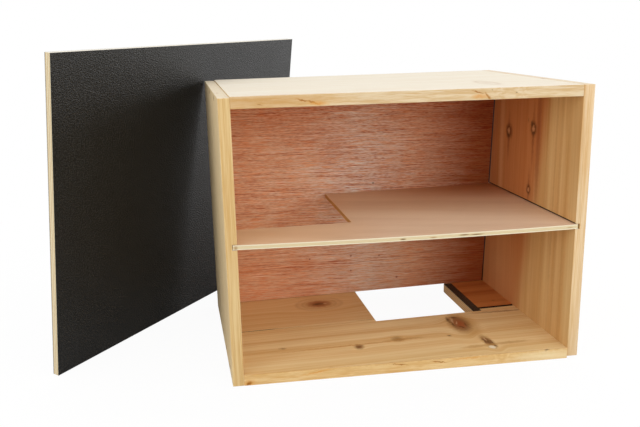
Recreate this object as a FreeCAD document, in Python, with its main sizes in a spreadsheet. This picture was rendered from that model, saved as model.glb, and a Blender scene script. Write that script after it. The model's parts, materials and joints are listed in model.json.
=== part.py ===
import FreeCAD, Part
import Sketcher
import math
import os
import re

# Driving sizes, in millimetres and degrees. The house lies on its front wall with its open top
# towards -Y, as it does when its roof panel is off, so heights of the house run along Y here.
SIZES = {
    # Shell
    "house_width": 449,
    "house_depth": 355,
    "wall_height": 306.5,
    "roof_fall": 25.5,
    "board": 14,
    "left_rear_setback": 1.2,
    "right_front_setback": 2.7,
    # Raised floor, which falls towards the entrance
    "floor_thick": 6,
    "floor_left_gap": 1,
    "floor_right_gap": 1.5,
    "floor_edge_gap": 0.5,
    "bearer_height": 26,
    "floor_rise": 26,
    "bearer_thick": 20,
    # Entrance and the planks round it
    "entrance_width": 149.5,
    "entrance_height": 124,
    "lintel_cut": 7.5,
    "jamb_width": 12.6,
    "right_block_width": 55.2,
    "left_joint_gap": 1.2,
    "right_joint_gap": 5.5,
    "tongue_length": 7,
    "tongue_thick": 4,
    "tongue_side_gap": 0.2,
    "tongue_end_gap": 0.5,
    # Partition that slides in grooves of the side walls
    "corridor_width": 161.7,
    "partition_thick": 6,
    "groove_depth": 6,
    "groove_side_gap": 0.4,
    "partition_left_gap": 0.5,
    "partition_right_gap": 2.5,
    "partition_floor_gap": 0.3,
    "doorway_width": 155,
    "doorway_height": 167.5,
    # Roof panel, taken off and leaning on the back left corner
    "lid_length": 541,
    "lid_width": 410,
    "lid_thick": 9,
    "lid_turn": 50.5,
    "lid_lean": 6.8,
    "lid_lead": 290,
    "lid_touch_gap": 0.4,
    # Countersunk screws through the side walls
    "screw_head": 7,
    "screw_head_height": 2,
    "screw_shank": 3.5,
    "screw_length": 38,
    "screw_hole_gap": 0.15,
    "screw_rim_inset": 44,
    "screw_rear_inset": 66,
    "screw_joint_inset": 30,
    "screw_foot_inset": 28,
    # Point of the upper front plank that is the origin
    "origin_from_left": 224.5,
    "origin_from_rim": 80,
}

# Named places, as sums of the driving sizes, measured from the left wall, the high rim and the ground
INNER_RIGHT = "(house_width - board)"
SILL = "(wall_height - bearer_height - floor_thick)"
LINTEL = f"({SILL} - entrance_height)"
JOINT = f"({LINTEL} + lintel_cut)"
BLOCK_LEFT = f"({INNER_RIGHT} - right_block_width)"
JAMB_LEFT = f"({BLOCK_LEFT} - jamb_width)"
ENTRANCE_LEFT = f"({JAMB_LEFT} - entrance_width)"
DOORWAY_RIGHT = "(board + doorway_width)"
PARTITION_LOW = "(board + corridor_width)"
PARTITION_HIGH = f"({PARTITION_LOW} + partition_thick)"
GROOVE_LOW = f"({PARTITION_LOW} - groove_side_gap)"
GROOVE_HIGH = f"({PARTITION_HIGH} + groove_side_gap)"
TONGUE_LOW = "((board - tongue_thick) / 2)"

doc = FreeCAD.newDocument("hedgehog_house")
sheet = doc.addObject("Spreadsheet::Sheet", "Sizes")
for row, (alias, size) in enumerate(SIZES.items(), start=1):
    sheet.set(f"A{row}", alias)
    sheet.set(f"B{row}", str(size))
    sheet.setAlias(f"B{row}", alias)
doc.recompute()

ALIAS = re.compile(r"\b(" + "|".join(SIZES) + r")\b")


def cells(formula):
    """A formula in size names, written with the sheet's cells."""
    return ALIAS.sub(r"Sizes.\1", formula)


def rim(across):
    """Height lost at the sloping rim, at a distance from the left face."""
    return f"(roof_fall * (1 - {across} / house_width))"


def floor_face(level):
    """Place of the floor's upper face, at a level above the ground."""
    return f"({SILL} - floor_rise * ({level} - board) / (house_depth - 2 * board))"


def floor_underside(level):
    return f"({floor_face(level)} + floor_thick)"


def seat(piece, x="0", y="0", z="0"):
    """Bind a piece's place, measured from the house's corner, to the part's origin."""
    piece.setExpression("Placement.Base.x", cells(f"{x} - origin_from_left"))
    piece.setExpression("Placement.Base.y", cells(f"{y} - origin_from_rim"))
    piece.setExpression("Placement.Base.z", cells(z))
    return piece


def new_body(name):
    body = doc.addObject("PartDesign::Body", name)
    body.Label = name
    return body


def origin_plane(body, role):
    return next(plane for plane in body.Origin.OriginFeatures if plane.Role == role)


def outline(body, name, corners, role="XY_Plane", level="0"):
    """A closed outline whose corners are bound to the sizes, at a level above its plane."""
    sketch = body.newObject("Sketcher::SketchObject", name)
    sketch.AttachmentSupport = [(origin_plane(body, role), "")]
    sketch.MapMode = "FlatFace"
    sketch.setExpression("AttachmentOffset.Base.z", cells(level))
    count = len(corners)
    ring = [
        FreeCAD.Vector(2 + math.cos(math.tau * step / count), 2 + math.sin(math.tau * step / count), 0)
        for step in range(count)
    ]
    for step in range(count):
        sketch.addGeometry(Part.LineSegment(ring[step], ring[(step + 1) % count]))
    for step in range(count):
        sketch.addConstraint(Sketcher.Constraint("Coincident", step, 2, (step + 1) % count, 1))
    for step, corner in enumerate(corners):
        for kind, axis, start, place in zip(("DistanceX", "DistanceY"), (-2, -1), ring[step], corner):
            if place == "0":
                sketch.addConstraint(Sketcher.Constraint("PointOnObject", step, 1, axis))
                continue
            index = sketch.addConstraint(Sketcher.Constraint(kind, -1, 1, step, 1, start))
            sketch.renameConstraint(index, f"{kind}_{step}")
            sketch.setExpression(f"Constraints.{kind}_{step}", cells(place))
    return sketch


def rectangle(x0, y0, x1, y1):
    return [(x0, y0), (x1, y0), (x1, y1), (x0, y1)]


def pad(body, sketch, thickness):
    feature = body.newObject("PartDesign::Pad", sketch.Name + "_pad")
    feature.Profile = sketch
    feature.setExpression("Length", cells(thickness))
    sketch.Visibility = False
    doc.recompute()
    return feature


def pocket(body, sketch, depth):
    """A cut that rises from its outline, which has to take material away."""
    before = body.Shape.Volume
    feature = body.newObject("PartDesign::Pocket", sketch.Name + "_pocket")
    feature.Profile = sketch
    feature.Reversed = True
    feature.setExpression("Length", cells(depth))
    sketch.Visibility = False
    doc.recompute()
    if body.Shape.Volume >= before:
        raise RuntimeError(f"{sketch.Name} cuts nothing")
    return feature


def board(name, corners, level, thickness):
    """A piece cut to an outline, lying between two levels."""
    body = seat(new_body(name))
    pad(body, outline(body, name + "_outline", corners, level=level), thickness)
    return body


def rail(name, section, left, right):
    """A piece that keeps one section from its left end to its right end."""
    body = seat(new_body(name))
    pad(body, outline(body, name + "_section", section, role="YZ_Plane", level=left), f"{right} - ({left})")
    return body


def bearer(name, low, high):
    """A batten from side wall to side wall whose upper edge follows the floor."""
    section = [(floor_underside(low), low), ("wall_height", low), ("wall_height", high),
               (floor_underside(high), high)]
    return rail(name, section, "board", INNER_RIGHT)


def side_wall(name, outer, inner, groove_end, low, high):
    """A side wall with a sloping rim and a housing groove for the partition."""
    corners = [(outer, rim(outer)), (inner, rim(inner)), (inner, "wall_height"), (outer, "wall_height")]
    wall = board(name, corners, low, f"{high} - {low}")
    groove = rectangle(groove_end, "0", inner, "wall_height")
    pocket(wall, outline(wall, name + "_groove", groove, level=GROOVE_LOW), f"{GROOVE_HIGH} - {GROOVE_LOW}")
    return wall


def tongued_plank(name, left, right, joint_gap):
    """A lower front plank with a tongue along its upper edge."""
    shoulder = f"({JOINT} + {joint_gap})"
    plank = board(name, rectangle(left, shoulder, right, "wall_height"), "0", "board")
    tongue = rectangle(left, f"{shoulder} - tongue_length", right, shoulder)
    pad(plank, outline(plank, name + "_tongue", tongue, level=TONGUE_LOW), "tongue_thick")
    return plank


def turned(name, corners):
    """A body turned about its own length, which runs along X from the head."""
    body = new_body(name)
    profile = outline(body, name + "_profile", corners)
    feature = body.newObject("PartDesign::Revolution", name + "_turned")
    feature.Profile = profile
    feature.ReferenceAxis = (profile, ["H_Axis"])
    feature.Angle = 360
    profile.Visibility = False
    doc.recompute()
    return body


def group(name, members):
    compound = doc.addObject("Part::Compound", name)
    compound.Label = name
    compound.Links = members
    doc.recompute()
    return compound


def bored(name, blank, holes):
    """A board with its screw holes."""
    piece = doc.addObject("Part::Cut", name)
    piece.Label = name
    piece.Base = blank
    piece.Tool = holes
    doc.recompute()
    if piece.Shape.Volume >= blank.Shape.Volume:
        raise RuntimeError(f"{name} has no screw holes")
    return piece


# Walls of the shell
left_blank = side_wall("left_wall_blank", "0", "board", "(board - groove_depth)",
                       "0", "(house_depth - left_rear_setback)")
right_blank = side_wall("right_wall_blank", "house_width", INNER_RIGHT, f"({INNER_RIGHT} + groove_depth)",
                        "right_front_setback", "house_depth")
rear_blank = board(
    "rear_wall_blank",
    [("board", rim("board")), (INNER_RIGHT, rim(INNER_RIGHT)), (INNER_RIGHT, "wall_height"),
     ("board", "wall_height")],
    "house_depth - board", "board")

# Front wall: a grooved upper plank, two tongued lower planks and the strip at the side of the entrance,
# which is as long as the entrance is high
upper_blank = board(
    "front_upper_plank_blank",
    [("board", rim("board")), (INNER_RIGHT, rim(INNER_RIGHT)), (INNER_RIGHT, JOINT), (BLOCK_LEFT, JOINT),
     (BLOCK_LEFT, LINTEL), (ENTRANCE_LEFT, LINTEL), (ENTRANCE_LEFT, JOINT), ("board", JOINT)],
    "0", "board")
tongue_slot = rectangle("board", f"{JOINT} - tongue_length - tongue_end_gap", INNER_RIGHT, JOINT)
pocket(upper_blank,
       outline(upper_blank, "front_upper_plank_slot", tongue_slot, level=f"{TONGUE_LOW} - tongue_side_gap"),
       "tongue_thick + 2 * tongue_side_gap")
lower_left_blank = tongued_plank("front_lower_left_plank_blank", "board", ENTRANCE_LEFT, "left_joint_gap")
lower_right_blank = tongued_plank("front_lower_right_plank_blank", BLOCK_LEFT, INNER_RIGHT, "right_joint_gap")
jamb = board("entrance_jamb", rectangle(JAMB_LEFT, LINTEL, BLOCK_LEFT, SILL), "0", "board")

# Floor panel on two bearers that keep it off the ground
floor_low = "(board + floor_edge_gap)"
floor_high = "(house_depth - board - floor_edge_gap)"
floor_panel = rail(
    "floor_panel",
    [(floor_face(floor_low), floor_low), (floor_underside(floor_low), floor_low),
     (floor_underside(floor_high), floor_high), (floor_face(floor_high), floor_high)],
    "board + floor_left_gap", f"{INNER_RIGHT} - floor_right_gap")
front_bearer = bearer("floor_bearer_front", "board", "(board + bearer_thick)")
rear_bearer = bearer("floor_bearer_rear", "(house_depth - board - bearer_thick)", "(house_depth - board)")

# Partition with a doorway at its lower left, its ends in the wall grooves and its edge on the slope
partition_left = "(board - groove_depth + partition_left_gap)"
partition_right = f"({INNER_RIGHT} + groove_depth - partition_right_gap)"
partition_foot = f"({floor_face(PARTITION_HIGH)} - partition_floor_gap)"
doorway_top = f"({partition_foot} - doorway_height)"
partition = board(
    "partition_panel",
    [(partition_left, rim(partition_left)), (partition_right, rim(partition_right)),
     (partition_right, partition_foot), (DOORWAY_RIGHT, partition_foot),
     (DOORWAY_RIGHT, doorway_top), (partition_left, doorway_top)],
    PARTITION_LOW, "partition_thick")

# Roof panel: its section leans, is padded along its length, and turns to touch the back left corner
lean_reach = "lid_width * sin(lid_lean)"
lean_rise = "lid_width * cos(lid_lean)"
skew = "lid_thick * cos(lid_lean)"
lift = "lid_thick * sin(lid_lean)"
lid = new_body("lid_panel")
pad(lid,
    outline(lid, "lid_panel_section",
            [(lean_reach, "0"), (f"{lean_reach} + {skew}", lift), (skew, f"{lean_rise} + {lift}"), ("0", lean_rise)],
            role="YZ_Plane"),
    "lid_length")
stand_off = ("((house_depth - left_rear_setback) * tan(lid_lean) + lid_touch_gap / cos(lid_lean)"
             " - lid_width * sin(lid_lean))")
seat(lid,
     x=f"0 - lid_lead * cos(lid_turn) - {stand_off} * sin(lid_turn)",
     y=f"wall_height - lid_lead * sin(lid_turn) + {stand_off} * cos(lid_turn)")
lid.setExpression("Placement.Rotation.Angle", cells("lid_turn"))

# Screws through the side walls into the front planks and the rear wall
screw = turned("screw", [
    ("0", "0"), ("screw_length", "0"), ("screw_length", "screw_shank / 2"),
    ("screw_head_height", "screw_shank / 2"), ("0", "screw_head / 2")])
screw_hole = turned("screw_hole", [
    ("0", "0"), ("screw_length + screw_hole_gap", "0"),
    ("screw_length + screw_hole_gap", "screw_shank / 2 + screw_hole_gap"),
    ("screw_head_height", "screw_shank / 2 + screw_hole_gap"), ("0", "screw_head / 2 + screw_hole_gap")])
FRONT_ROW = "board / 2"
REAR_ROW = "house_depth - board / 2"
LOWEST = "(wall_height - screw_foot_inset)"
REAR_HIGHEST = "(roof_fall + screw_rear_inset)"
SCREW_PLACES = [
    ("roof_fall + screw_rim_inset", FRONT_ROW),
    (f"{JOINT} - screw_joint_inset", FRONT_ROW),
    (f"{JOINT} + screw_joint_inset", FRONT_ROW),
    (LOWEST, FRONT_ROW),
    (REAR_HIGHEST, REAR_ROW),
    (f"({REAR_HIGHEST} + {LOWEST}) / 2", REAR_ROW),
    (LOWEST, REAR_ROW),
]


def screw_row(side, master, face, turn):
    """Copies of a screw or of its hole, entering one side wall at every screw place."""
    copies = []
    for number, (height, level) in enumerate(SCREW_PLACES, start=1):
        copy = doc.addObject("App::Link", f"{side}_{master.Name}_{number}")
        copy.LinkedObject = master
        copy.Placement = FreeCAD.Placement(FreeCAD.Vector(), FreeCAD.Rotation(FreeCAD.Vector(0, 0, 1), turn))
        copies.append(seat(copy, x=face, y=height, z=level))
    return copies


left_holes = group("left_screw_holes", screw_row("left", screw_hole, "0", 0))
right_holes = group("right_screw_holes", screw_row("right", screw_hole, "house_width", 180))
all_holes = group("screw_holes", [left_holes, right_holes])
left_screws = group("left_wall_screws", screw_row("left", screw, "0", 0))
right_screws = group("right_wall_screws", screw_row("right", screw, "house_width", 180))

pieces = [
    bored("left_wall", left_blank, left_holes),
    bored("right_wall", right_blank, right_holes),
    bored("rear_wall", rear_blank, all_holes),
    bored("front_upper_plank", upper_blank, all_holes),
    bored("front_lower_left_plank", lower_left_blank, left_holes),
    bored("front_lower_right_plank", lower_right_blank, right_holes),
    front_bearer, rear_bearer, jamb, floor_panel, partition, lid, left_screws, right_screws,
]

# Every object has to be sound before any shape is written
doc.recompute()
for item in doc.Objects:
    if "Invalid" in item.State or "Error" in item.State:
        raise RuntimeError(f"{item.Label} failed: {item.State}")
for piece in pieces:
    if piece.Shape.isNull() or not piece.Shape.isValid():
        raise RuntimeError(f"{piece.Label} has no valid shape")
os.makedirs("parts", exist_ok=True)
for piece in pieces:
    piece.Shape.exportStep(f"parts/{piece.Label}.step")
    print(piece.Label, len(piece.Shape.Solids), round(piece.Shape.Volume))
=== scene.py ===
"""Looks of a wooden hedgehog house that lies on its front wall, its roof panel leaning behind it.

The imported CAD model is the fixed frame. Timber and plywood patterns are laid out in the joiner's
millimetres: X from the outer face of the left wall, Y from the high end of the open rim towards the
foot of the house, and Z up from the ground.
"""

from __future__ import annotations

import json
import logging
import math
from dataclasses import dataclass
from enum import Enum
from typing import Any, Iterable, Optional, Union

import bmesh
import bpy
from mathutils import Euler, Matrix, Vector

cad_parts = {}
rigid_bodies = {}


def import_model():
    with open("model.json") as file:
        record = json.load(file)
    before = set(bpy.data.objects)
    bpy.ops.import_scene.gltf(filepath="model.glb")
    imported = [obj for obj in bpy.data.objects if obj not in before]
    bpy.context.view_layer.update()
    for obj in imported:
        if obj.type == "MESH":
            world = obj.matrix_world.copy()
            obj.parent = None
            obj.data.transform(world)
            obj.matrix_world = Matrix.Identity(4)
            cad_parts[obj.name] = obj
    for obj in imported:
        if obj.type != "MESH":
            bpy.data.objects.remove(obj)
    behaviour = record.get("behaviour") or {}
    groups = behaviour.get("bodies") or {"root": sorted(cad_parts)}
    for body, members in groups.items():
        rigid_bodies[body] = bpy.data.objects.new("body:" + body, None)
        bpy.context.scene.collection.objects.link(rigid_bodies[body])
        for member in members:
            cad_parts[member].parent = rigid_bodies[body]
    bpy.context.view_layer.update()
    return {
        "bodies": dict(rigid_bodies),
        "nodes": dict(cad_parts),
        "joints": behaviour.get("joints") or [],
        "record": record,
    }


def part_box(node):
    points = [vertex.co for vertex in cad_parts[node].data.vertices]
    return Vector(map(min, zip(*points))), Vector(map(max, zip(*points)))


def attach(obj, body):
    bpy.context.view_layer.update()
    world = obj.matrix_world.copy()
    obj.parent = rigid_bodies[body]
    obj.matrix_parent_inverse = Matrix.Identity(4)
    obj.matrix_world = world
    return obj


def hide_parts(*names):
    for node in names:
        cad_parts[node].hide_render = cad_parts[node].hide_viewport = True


LOG = logging.getLogger("hedgehog_house")
MM = 0.001

# Place of the model's origin, and sizes of the house that its patterns follow, in millimetres
ORIGIN_FROM_LEFT = 224.5
ORIGIN_FROM_RIM = 80.0
HOUSE_WIDTH = 449.0
HOUSE_DEPTH = 355.0
BOARD = 14.0
INNER_RIGHT = HOUSE_WIDTH - BOARD

# Points of a mesh that lie nearer than this are one, in millimetres
ONE_POINT = 0.01

Pair = tuple[float, float]
Triple = tuple[float, float, float]
Paint = tuple[float, float, float, float]
Stops = tuple[tuple[float, str, float], ...]


def paint(code: str, alpha: float = 1.0) -> Paint:
    """Turn a display colour into the linear colour that a shader takes.

    Args:
        code: the colour as #rrggbb.
        alpha: its opacity.

    Returns:
        Linear red, green and blue, and the opacity.
    """
    parts = [int(code[i:i + 2], 16) / 255 for i in (1, 3, 5)]
    linear = [c / 12.92 if c <= 0.04045 else ((c + 0.055) / 1.055) ** 2.4 for c in parts]
    return (linear[0], linear[1], linear[2], alpha)


class Wire:
    """A node's output that takes part in Python sums."""

    def __init__(self, bench: Bench, socket: Optional[bpy.types.NodeSocket]) -> None:
        """Keep the bench that the node stands on, and its socket."""
        self.bench = bench
        self.socket = socket

    def __add__(self, other: Value) -> Wire:
        """Add a number or a wire."""
        return self.bench.sum("ADD", self, other)

    def __sub__(self, other: Value) -> Wire:
        """Take a number or a wire away."""
        return self.bench.sum("SUBTRACT", self, other)

    def __rsub__(self, other: Value) -> Wire:
        """Take this wire away from a number."""
        return self.bench.sum("SUBTRACT", other, self)

    def __mul__(self, other: Value) -> Wire:
        """Multiply by a number or a wire."""
        return self.bench.sum("MULTIPLY", self, other)

    def __truediv__(self, other: Value) -> Wire:
        """Divide by a number or a wire."""
        return self.bench.sum("DIVIDE", self, other)

    def __pow__(self, other: Value) -> Wire:
        """Raise to a power."""
        return self.bench.sum("POWER", self, other)

    def __abs__(self) -> Wire:
        """Drop the sign."""
        return self.bench.sum("ABSOLUTE", self)

    __radd__ = __add__
    __rmul__ = __mul__

    def lifted(self, least: float) -> Wire:
        """Lift a number that runs from 0 to 1, so that it runs from its least to 1."""
        return least + self * (1 - least)

    def sibling(self, output: Union[int, str]) -> Wire:
        """Give another output of the same node."""
        return Wire(self.bench, self.socket.node.outputs[output])


Value = Union[Wire, float]
Colour = Union[Wire, Paint]


@dataclass(frozen=True)
class Sheen:
    """How a surface takes the light.

    Its fields are its roughness and how far that swings, the depth of its relief in millimetres and how
    much of it shows, and the shader's specular and metallic levels.
    """

    rough: float
    swing: float
    relief: float
    strength: float
    specular: float = 0.5
    metallic: float = 0.0


class Bench:
    """The node tree of a material or of the world, where its pattern is put together."""

    # Cosines at which a face starts to count as looking in a direction, or as an edge, and fully does
    LOOKING = (0.5, 0.9)
    EDGE_ON = (0.8, 0.4)

    def __init__(self, owner: Union[bpy.types.Material, bpy.types.World]) -> None:
        """Clear the owner's node tree.

        Args:
            owner: the material or the world.
        """
        self.owner = owner
        self.owner.use_nodes = True
        self.tree = self.owner.node_tree
        self.tree.nodes.clear()

    def node(self, kind: str, sockets: dict[Union[int, str], Any], output: Union[int, str] = 0,
             stops: Stops = (), **settings: Any) -> Wire:
        """Add one node.

        Args:
            kind: the node's type, without its ShaderNode prefix.
            sockets: a value or a wire for each input that is set.
            output: the output that is wanted.
            stops: a colour ramp's stops, as place, colour and opacity.
            **settings: the node's own settings, set before its sockets.

        Returns:
            The wanted output.
        """
        made = self.tree.nodes.new("ShaderNode" + kind)
        for key, value in settings.items():
            setattr(made, key, value)
        if stops:
            elements = made.color_ramp.elements
            while len(elements) < len(stops):
                elements.new(1.0)
            for element, (place, code, alpha) in zip(elements, stops):
                element.position = place
                element.color = paint(code, alpha)
        for key, value in sockets.items():
            if isinstance(value, Wire):
                self.tree.links.new(value.socket, made.inputs[key])
            else:
                made.inputs[key].default_value = value
        return Wire(self, made.outputs[output] if made.outputs else None)

    def sum(self, operation: str, *values: Value) -> Wire:
        """Add a Math node for one step of a Python sum."""
        return self.node("Math", dict(enumerate(values)), operation=operation)

    def limit(self, value: Wire) -> Wire:
        """Keep a number from 0 to 1."""
        return self.sum("MINIMUM", self.sum("MAXIMUM", value, 0.0), 1.0)

    def step(self, value: Value, low: float, high: float) -> Wire:
        """Ease from 0 at low to 1 at high, or back where low is the larger."""
        return self.node("MapRange", {"Value": value, "From Min": low, "From Max": high},
                         interpolation_type="SMOOTHSTEP")

    def mix(self, under: Colour, over: Colour, share: Value, mode: str = "MIX") -> Wire:
        """Lay one colour over another by a share of it."""
        return self.node("Mix", {0: share, 6: under, 7: over}, 2, data_type="RGBA", blend_type=mode)

    def stain(self, under: Colour, stain: Colour, share: Value) -> Wire:
        """Darken a colour through a stain by a share of it."""
        return self.mix(under, stain, share, "MULTIPLY")

    def ramp(self, place: Value, stops: Stops) -> Wire:
        """Turn a number into a colour by a ramp's stops."""
        return self.node("ValToRGB", {0: place}, stops=stops)

    def noise(self, place: Wire, scale: float, detail: float = 2.0, output: int = 0) -> Wire:
        """Add a noise of that many grains per unit, as a number or as a colour."""
        return self.node("TexNoise", {"Vector": place, "Scale": scale, "Detail": detail}, output)

    def join(self, x: Value, y: Value, z: Value) -> Wire:
        """Join three numbers to a place."""
        return self.node("CombineXYZ", {0: x, 1: y, 2: z})

    def split(self, place: Wire) -> tuple[Wire, Wire, Wire]:
        """Split a place into its three numbers."""
        x = self.node("SeparateXYZ", {0: place})
        return (x, x.sibling(1), x.sibling(2))

    def house_place(self) -> Wire:
        """Give the place on the house, in the joiner's millimetres."""
        here = self.node("TexCoord", {}, "Object")
        return self.node("Mapping", {"Vector": here, "Scale": (1 / MM,) * 3,
                                     "Location": (ORIGIN_FROM_LEFT, ORIGIN_FROM_RIM, 0)})

    def looking(self, direction: Triple) -> Wire:
        """Give 1 on faces that look in a direction, and 0 on those that look well away from it.

        Args:
            direction: the direction, of length 1.

        Returns:
            The share.
        """
        normal = self.node("NewGeometry", {}, "Normal")
        share = self.node("VectorMath", {0: normal, 1: direction}, "Value", operation="DOT_PRODUCT")
        return self.step(share, *self.LOOKING)

    def edges(self, axis: int) -> Wire:
        """Give 1 on the edges of a sheet whose two faces look along an axis, and 0 on those faces."""
        normal = self.node("NewGeometry", {}, "Normal")
        return self.step(abs(self.split(normal)[axis]), *self.EDGE_ON)

    def around(self, place: Wire, centre: Triple, reach: Triple, turn: Triple = (0, 0, 0)) -> Wire:
        """Give the distance from a centre, which is 1 at the end of its reach on each axis.

        Args:
            place: the place to measure.
            centre: the middle of the ellipsoid.
            reach: its half lengths.
            turn: its turn about each axis, in degrees.

        Returns:
            The distance in shares of the reach.
        """
        angles = tuple(math.radians(a) for a in turn)
        sockets = {"Vector": place, "Location": centre, "Rotation": angles, "Scale": reach}
        local = self.node("Mapping", sockets, vector_type="TEXTURE")
        return self.node("VectorMath", {0: local}, "Value", operation="LENGTH")

    def shifted(self, place: Wire, noise: Wire, amount: float) -> Wire:
        """Push a place about by a noise's colour.

        Args:
            place: the place.
            noise: the noise, as a colour.
            amount: twice the farthest push on each axis.

        Returns:
            The pushed place.
        """
        centred = self.node("VectorMath", {0: noise, 1: (0.5, 0.5, 0.5)}, operation="SUBTRACT")
        scaled = self.node("VectorMath", {0: centred, "Scale": amount}, operation="SCALE")
        return self.node("VectorMath", {0: place, 1: scaled}, operation="ADD")

    def surface(self, colour: Colour, sheen: Sheen, wear: Wire, height: Wire) -> bpy.types.Material:
        """Finish the material.

        Args:
            colour: its base colour.
            sheen: how it takes the light.
            wear: what its roughness swings with.
            height: its relief, from 0 to 1.

        Returns:
            The finished material.
        """
        bump = self.node("Bump", {"Height": height, "Strength": sheen.strength,
                                  "Distance": sheen.relief * MM})
        shader = self.node("BsdfPrincipled", {
            "Base Color": colour, "Roughness": sheen.rough + wear * sheen.swing, "Normal": bump,
            "Specular IOR Level": sheen.specular, "Metallic": sheen.metallic})
        self.node("OutputMaterial", {"Surface": shader})
        return self.owner


class Grain(Enum):
    """Which way a board's fibres run, as the order of its axes: along, across and through."""

    SIDEWAYS = (0, 1, 2)
    UPRIGHT = (2, 1, 0)
    BATTEN = (0, 2, 1)


class Blemish(Enum):
    """How a knot, a stain, a streak or a patch of painted light or shade looks, from its middle to the end
    of its reach.
    """

    EYE = ((0.0, "#cf9a68", 1), (0.28, "#bd8557", 1), (0.42, "#6b3c20", 0.85), (0.54, "#5d3018", 0.7),
           (0.75, "#7a4525", 0.35), (1.0, "#7d4526", 0))
    FLAME = ((0.0, "#6a3518", 0.65), (0.4, "#7a4223", 0.4), (1.0, "#8a5030", 0))
    SOFT_KNOT = ((0.0, "#5e3216", 0.95), (0.11, "#7a431f", 0.9), (0.26, "#9c5426", 0.82),
                 (0.42, "#aa622f", 0.6), (0.56, "#ad7038", 0.22), (0.66, "#a06a32", 0.3),
                 (0.74, "#b07a40", 0.1), (0.88, "#a06c35", 0.2), (1.0, "#b8834f", 0))
    RED_KNOT = ((0.0, "#a8532c", 0.92), (0.3, "#9c5832", 0.86), (0.46, "#8c5a36", 0.76),
                (0.58, "#7d5230", 0.62), (0.74, "#a3733e", 0.4), (1.0, "#bb8c50", 0))
    # Bark of knots, and also painted shade in a joint
    BARK_AND_SHADE = ((0.0, "#4a2f1a", 0.85), (0.5, "#6b4527", 0.5), (1.0, "#96693a", 0))
    DARK_KNOT = ((0.0, "#6b4119", 0.95), (0.4, "#835323", 0.85), (0.66, "#a8763a", 0.45),
                 (1.0, "#bd8a48", 0))
    GREY_KNOT = ((0.0, "#a27a48", 0.85), (0.5, "#ab834f", 0.6), (1.0, "#c0935a", 0))
    DOT = ((0.0, "#4a321d", 0.9), (0.5, "#6f4e2d", 0.55), (1.0, "#a47844", 0))
    # Painted shade: near-black where gaps, slots and joints lie in shadow
    SHADE_IN_GAP = ((0.0, "#1c130c", 1), (0.8, "#1c130c", 1), (1.0, "#2b1c11", 0))
    # A warm wash in the wood, and also painted shade on the rear rim
    WASH_AND_SHADE = ((0.0, "#be8b45", 0.65), (0.6, "#c6944e", 0.45), (1.0, "#d8ad6a", 0))
    ARRIS = ((0.0, "#b57c34", 0.35), (0.6, "#c08a42", 0.25), (1.0, "#cc9c58", 0))
    # Smudges in the wood, and also painted shade in the partition's groove
    SMUDGE_AND_SHADE = ((0.0, "#8f5f30", 0.75), (0.5, "#9c6c38", 0.45), (1.0, "#ab7b43", 0))
    CHIP = ((0.0, "#fbf0d8", 1), (0.6, "#f2e2c0", 0.95), (0.8, "#cfb283", 0.5), (1.0, "#b08a58", 0))
    FLAKE = ((0.0, "#dcc098", 0.8), (0.6, "#d2b286", 0.6), (1.0, "#b08a58", 0))
    SAPWOOD = ((0.0, "#e9d4a8", 0.85), (0.6, "#e4cc9e", 0.6), (1.0, "#d8b880", 0))
    RESIN = ((0.0, "#8f5312", 1), (0.5, "#a56a22", 0.8), (1.0, "#c89650", 0))
    AMBER = ((0.0, "#d08a35", 0.8), (0.6, "#d69a4c", 0.4), (1.0, "#dcae6a", 0))
    DARK_STREAK = ((0.0, "#a8712f", 0.24), (0.5, "#ae7936", 0.15), (1.0, "#b88545", 0))
    PALE_STREAK = ((0.0, "#e6c78e", 0.5), (0.5, "#dfbd80", 0.3), (1.0, "#d6b073", 0))
    # Painted light: a pale patch where a surface stands in as more brightly lit
    PAINTED_SOFT_LIGHT = ((0.0, "#e9b985", 0.5), (0.5, "#e3b07a", 0.32), (1.0, "#d6a068", 0))
    VOID = ((0.0, "#5d3f20", 0.95), (0.5, "#74522c", 0.75), (1.0, "#a98a58", 0))
    RED_STREAK = ((0.0, "#8e4523", 0.6), (0.6, "#8e4a28", 0.35), (1.0, "#95552f", 0))
    SCRATCH = ((0.0, "#fbf3e2", 1), (0.5, "#f6ead4", 0.7), (1.0, "#f0e0c4", 0))
    PIN = ((0.0, "#7a1f0e", 0.9), (0.5, "#94381f", 0.6), (1.0, "#a85a3c", 0))
    FIGURE = ((0.0, "#cbb193", 0.35), (0.4, "#c6a884", 0.1), (0.62, "#bb9468", 0.3), (0.8, "#cdb08a", 0.1),
              (1.0, "#d8c2a0", 0))


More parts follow.
